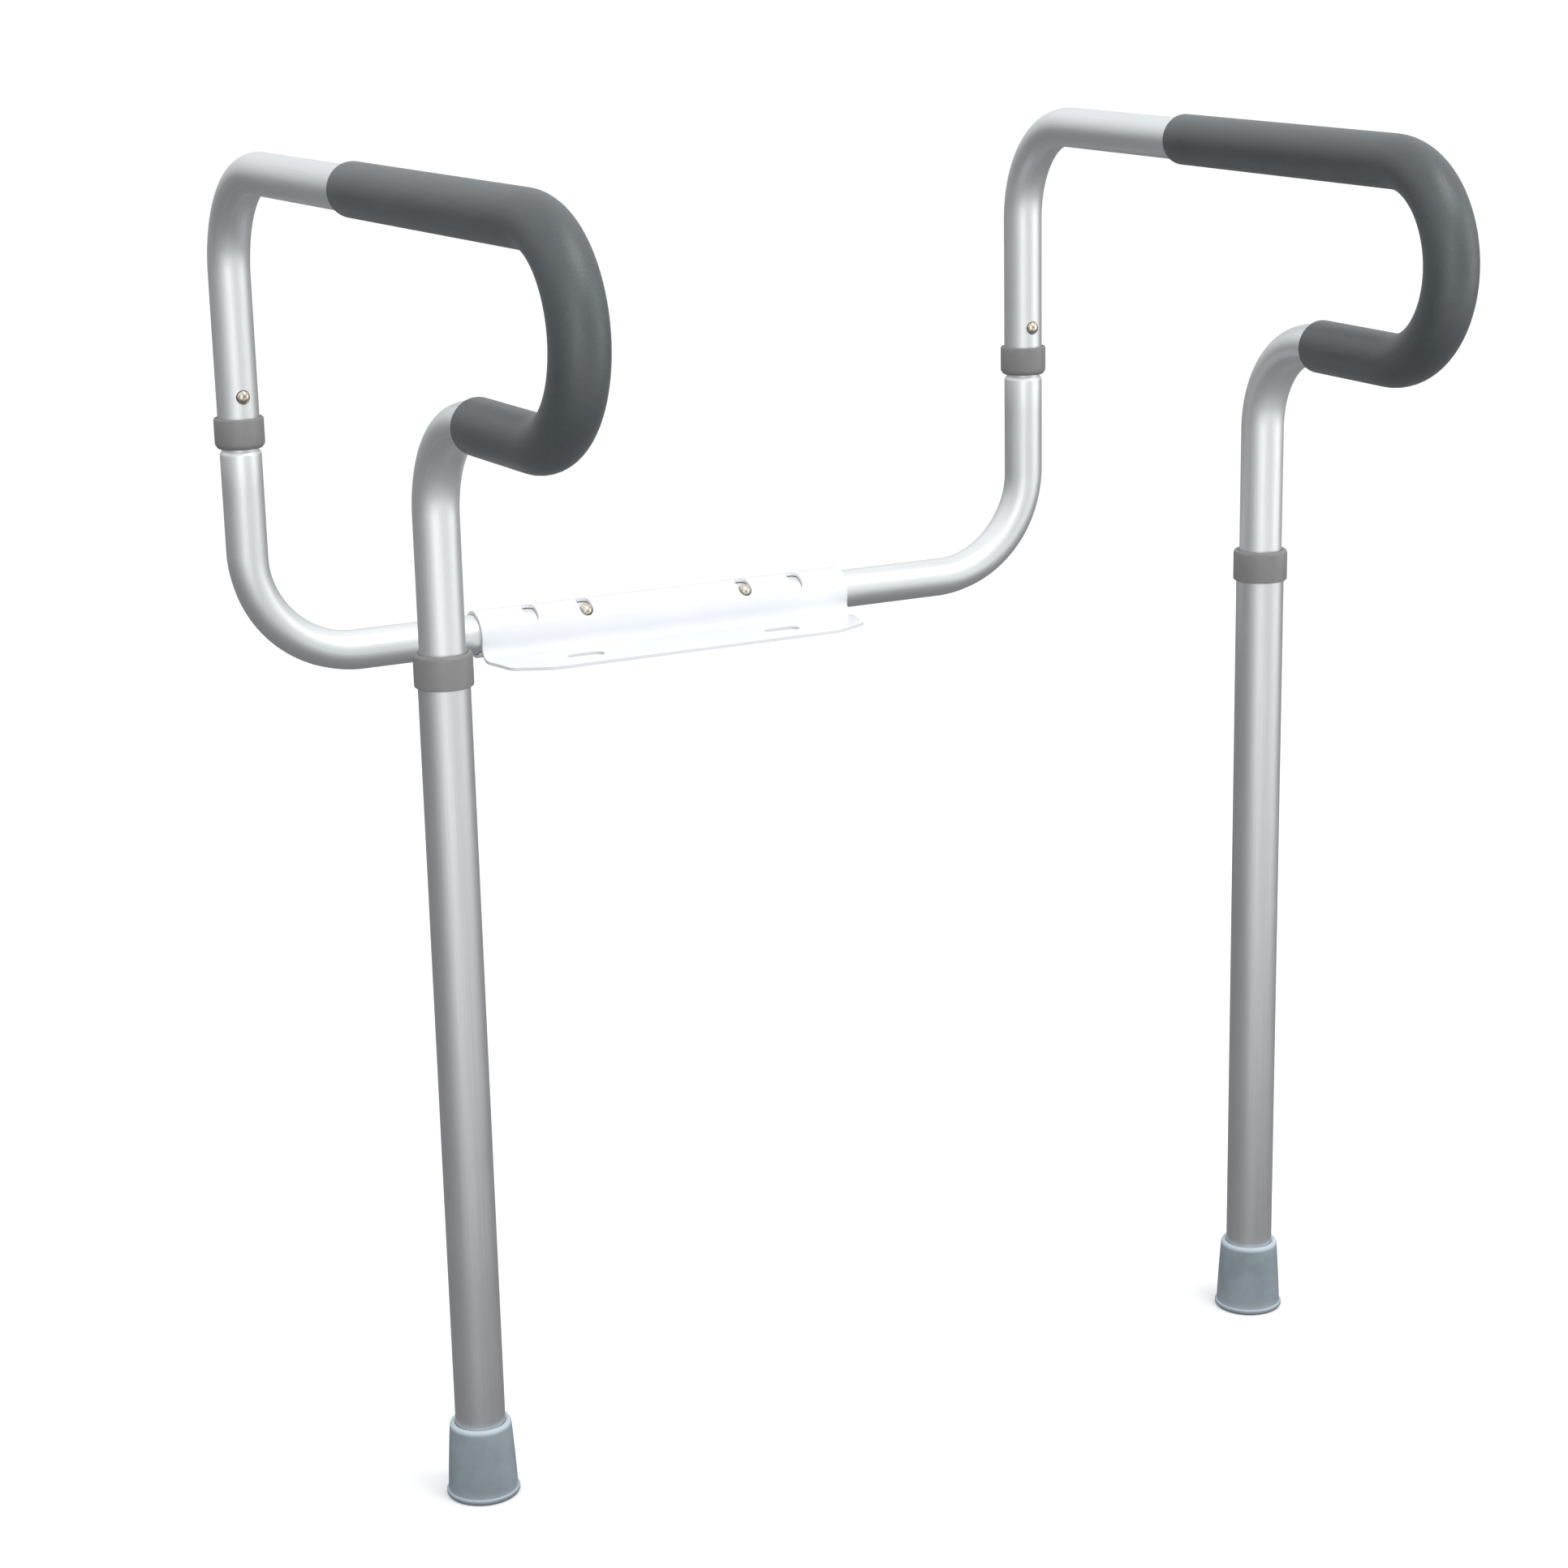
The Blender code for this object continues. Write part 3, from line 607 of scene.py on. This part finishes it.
# Rear collars: satin grey mouldings pushed over the rail's cut lower end, chamfered underneath where they
# meet the arm, with a thin raised rim on top.
satin_grey = grained("satin_grey", (0.42, 0.0), (1100.0, 40.0), (0.205, 0.205, 0.200), (0.245, 0.245, 0.240),
                     rough=("Grain", 0.36, 0.50), bump=(0.00008, 0.4))[0]

for side, word in SIDES:
    low, high, outer = AXIS_Z + 0.134, AXIS_Z + 0.1525, 0.0152
    profile = [(SPIGOT_R + 0.0004, low), (outer - 0.0020, low), (outer - 0.0014, low + 0.0003),
               (outer - 0.0002, low + 0.0022), (outer, low + 0.0030), (outer, high - 0.0008),
               (outer - 0.0002, high - 0.0003), (outer - 0.0006, high), (outer - 0.0011, high),
               (outer - 0.0013, high - 0.0006), (TUBE_R + 0.0002, high - 0.0008),
               (TUBE_R + 0.0002, low + 0.0017), (SPIGOT_R + 0.0004, low + 0.0017)]
    seat = Matrix.Translation((side * SIDE_X, AXIS_Y, 0.0))
    piece_from(turned(profile, 64, seat), f"{word}_rail_collar", satin_grey, f"{word}_rail",
               [f"{word}_rear_collar"])


# Front legs: larger tube that slides over the rail's front upright, with a row of height holes on the rear
# side, in the same anodised finish and slightly duller.
LEG_R, LEG_WALL, LEG_LENGTH, HOLE_PITCH = 0.0143, 0.0013, 0.4815, 0.0254
leg_aluminium = anodised("leg_aluminium", (0.66, 0.665, 0.67), (0.75, 0.755, 0.76), 0.40, 0.50)
for side, word in SIDES:
    path = follow((side * SIDE_X, FRONT_Y, FLOOR_Z + 0.010), (0.0, 0.0, 1.0), (1.0, 0.0, 0.0),
                  [("line", LEG_LENGTH)])
    path, radii = with_soft_ends(path, LEG_R, LEG_R - LEG_WALL)
    bm = bent_tube(path, (1.0, 0.0, 0.0), radii)
    turn = toe_in(side)
    bm.transform(turn)
    leg = piece_from(bm, f"{word}_leg", leg_aluminium, f"{word}_leg",
                     [f"{word}_leg_tube"])
    drill(leg, [round_cutter(turn @ Vector((side * SIDE_X, FRONT_Y, LEG_BUTTON_Z + k * HOLE_PITCH)),
                             turn.to_3x3() @ Vector((0.0, 1.0, 0.0))) for k in range(-2, 5)])


# Front collars: grey caps pressed on the leg tube's top end. Their rounded top lip closes in on the rail tube
# and keeps it from rattling.
for side, word in SIDES:
    low, high, outer = FLOOR_Z + 0.476, FLOOR_Z + 0.4945, 0.0162
    under = FLOOR_Z + 0.4918
    profile = [(LEG_R + 0.0002, low), (outer - 0.0006, low), (outer - 0.0001, low + 0.0004),
               (outer, low + 0.0009), (outer, high - 0.0022), (outer - 0.0002, high - 0.0012),
               (outer - 0.0007, high - 0.0004),
               (outer - 0.0014, high), (outer - 0.0022, high), (outer - 0.0026, high - 0.0004),
               (TUBE_R + 0.0003, high - 0.0006), (TUBE_R + 0.0003, under), (LEG_R + 0.0002, under)]
    seat = toe_in(side) @ Matrix.Translation((side * SIDE_X, FRONT_Y, 0.0))
    piece_from(turned(profile, 64, seat), f"{word}_leg_collar", satin_grey, f"{word}_leg",
               [f"{word}_front_collar"])


# Foot tips: thick blue-grey rubber ferrules, tapered, with a flared lip at the floor. Their top rim is paler,
# partly rubbed wear and partly a painted highlight, and a thin painted highlight runs along the lip's rounded
# top edge.
# They are pushed on to the leg over a washer that stops the tube cutting through.
rubber, nodes, links, shader, _, tint = grained(
    "rubber", (0.55, 0.0), (700.0, 45.0), (0.235, 0.285, 0.318), (0.320, 0.376, 0.412),
    rough=("Grain", 0.46, 0.64), bump=(0.00015, 0.5), span=(0.32, 0.68))
apart = nodes.new("ShaderNodeSeparateXYZ")
rim_place = nodes.new("ShaderNodeUVMap")
rim_place.uv_map = "rim"
links.new(rim_place.outputs["UV"], apart.inputs["Vector"])
# paler colour mixed in by the rim UV: wear and painted highlight at the top rim, painted highlight on the
# lip's edge
pale = nodes.new("ShaderNodeMix")
pale.data_type = "RGBA"
pale.inputs["B"].default_value = (0.50, 0.58, 0.64, 1.0)
links.new(apart.outputs["X"], pale.inputs["Factor"])
links.new(tint.outputs["Color"], pale.inputs["A"])
links.new(pale.outputs["Result"], shader.inputs["Base Color"])

for side, word in SIDES:
    socket = LEG_R + 0.0002
    profile = [(0.0, 0.0012), (0.0130, 0.0012), (0.0134, 0.0), (0.0198, 0.0), (0.0206, 0.0004),
               (0.0210, 0.0011), (0.0210, 0.0022), (0.0207, 0.0028), (0.0202, 0.0031), (0.0199, 0.0036),
               (0.0198, 0.0070),
               (0.0192, 0.0200), (0.0183, 0.0340), (0.0178, 0.0412), (0.0176, 0.0428), (0.0171, 0.0437),
               (0.0165, 0.0440), (0.0152, 0.0440), (socket, 0.0434), (socket, 0.0080), (0.0, 0.0080)]
    seat = toe_in(side) @ Matrix.Translation((side * SIDE_X, FRONT_Y, FLOOR_Z))
    bm = turned(profile, 72, seat)
    rim = bm.loops.layers.uv.new("rim")
    for face in bm.faces:
        for loop in face.loops:
            above = loop.vert.co.z - FLOOR_Z
            # top band paler: partly rubbed wear, partly a painted highlight on the up-facing rim
            rim_wear_and_highlight = 1.0 if 0.0425 < above else 0.0
            # painted highlight: a pale line on the lip's rounded top edge
            lip = 0.6 if 0.0024 < above < 0.0033 else 0.0
            loop[rim].uv = (max(rim_wear_and_highlight, lip), 0.0)
    piece_from(bm, f"{word}_tip", rubber, f"{word}_leg", [f"{word}_foot_tip"])


# Floor: a plain pale studio sweep, wide enough that its edge stays out of sight. Metal mirrors it dimmer than
# the
# eye sees it: for all but camera rays its colour carries painted shade, dark under the frame and pale some
# way in front of it.
studio_floor, nodes, links, shader = new_finish("studio_floor", 0.8, 0.0)
grain = place_group(nodes, surface_grain, **{"Scale": 60.0, "Cloud Scale": 1.5})
tint = tint_between(nodes, links, grain.outputs["Cloud"], (0.97, 0.97, 0.97), (0.985, 0.985, 0.985), 0.3, 0.7)
spot = nodes.new("ShaderNodeNewGeometry")
apart = nodes.new("ShaderNodeSeparateXYZ")
links.new(spot.outputs["Position"], apart.inputs["Vector"])
# painted shade for reflections and bounce: the floor colour is dark under the frame and pales further forward
reflection_shade_fade = nodes.new("ShaderNodeMapRange")
reflection_shade_fade.interpolation_type = "SMOOTHSTEP"
reflection_shade_fade.inputs["From Min"].default_value = -0.45
reflection_shade_fade.inputs["From Max"].default_value = -1.50
links.new(apart.outputs["Y"], reflection_shade_fade.inputs["Value"])
painted_reflection_shade = tint_between(nodes, links, reflection_shade_fade.outputs["Result"], (0.19, 0.19, 0.195), (0.80, 0.80, 0.80))
seen = nodes.new("ShaderNodeLightPath")
either = nodes.new("ShaderNodeMix")
either.data_type = "RGBA"
links.new(seen.outputs["Is Camera Ray"], either.inputs["Factor"])
links.new(painted_reflection_shade.outputs["Color"], either.inputs["A"])
links.new(tint.outputs["Color"], either.inputs["B"])
links.new(either.outputs["Result"], shader.inputs["Base Color"])
shader.inputs["Specular IOR Level"].default_value = 0.0
bm = bmesh.new()
bmesh.ops.create_grid(bm, x_segments=8, y_segments=8, size=30.0)
mesh = bpy.data.meshes.new("floor")
bm.to_mesh(mesh)
bm.free()
mesh.materials.append(studio_floor)
floor = bpy.data.objects.new("floor", mesh)
floor.location = (0.0, 10.0, FLOOR_Z - 0.0002)
bpy.context.collection.objects.link(floor)

# Light: a surround that is bright overhead and dim near the horizon, seen as plain white behind the frame,
# with one wide softbox behind the camera, a smaller one above and a third to the right of the frame.
world = bpy.data.worlds.new("studio")
bpy.context.scene.world = world
world.use_nodes = True
nodes, links = world.node_tree.nodes, world.node_tree.links
background = nodes["Background"]
direction = nodes.new("ShaderNodeTexCoord")
apart = nodes.new("ShaderNodeSeparateXYZ")
links.new(direction.outputs["Generated"], apart.inputs["Vector"])
sky = tint_between(nodes, links, apart.outputs["Z"], (0.40, 0.40, 0.405), (1.12, 1.13, 1.15), 0.0, 0.62)
links.new(sky.outputs["Color"], background.inputs["Color"])
backdrop = nodes.new("ShaderNodeBackground")
backdrop.inputs["Color"].default_value = (1.0, 1.0, 1.0, 1.0)
seen = nodes.new("ShaderNodeLightPath")
either = nodes.new("ShaderNodeMixShader")
links.new(seen.outputs["Is Camera Ray"], either.inputs["Fac"])
links.new(background.outputs["Background"], either.inputs[1])
links.new(backdrop.outputs["Background"], either.inputs[2])
links.new(either.outputs["Shader"], nodes["World Output"].inputs["Surface"])


def softbox(name, place, target, width, height, power):
    light = bpy.data.lights.new(name, "AREA")
    light.shape = "RECTANGLE"
    light.size, light.size_y = width, height
    light.energy = power
    lamp = bpy.data.objects.new(name, light)
    lamp.location = place
    aim = Vector(target) - Vector(place)
    lamp.rotation_euler = aim.to_track_quat("-Z", "Y").to_euler()
    bpy.context.collection.objects.link(lamp)


softbox("softbox_front", (-1.35, -2.75, 0.7), (0.0, -0.1, 0.1), 1.5, 2.2, 14.5)
softbox("softbox_top", (0.5, -1.3, 2.1), (0.0, -0.25, 0.2), 0.9, 0.9, 13.0)
softbox("softbox_right", (2.2, -1.6, 0.6), (0.0, -0.1, 0.1), 1.5, 2.0, 13.0)
bpy.context.scene.view_settings.view_transform = "Standard"
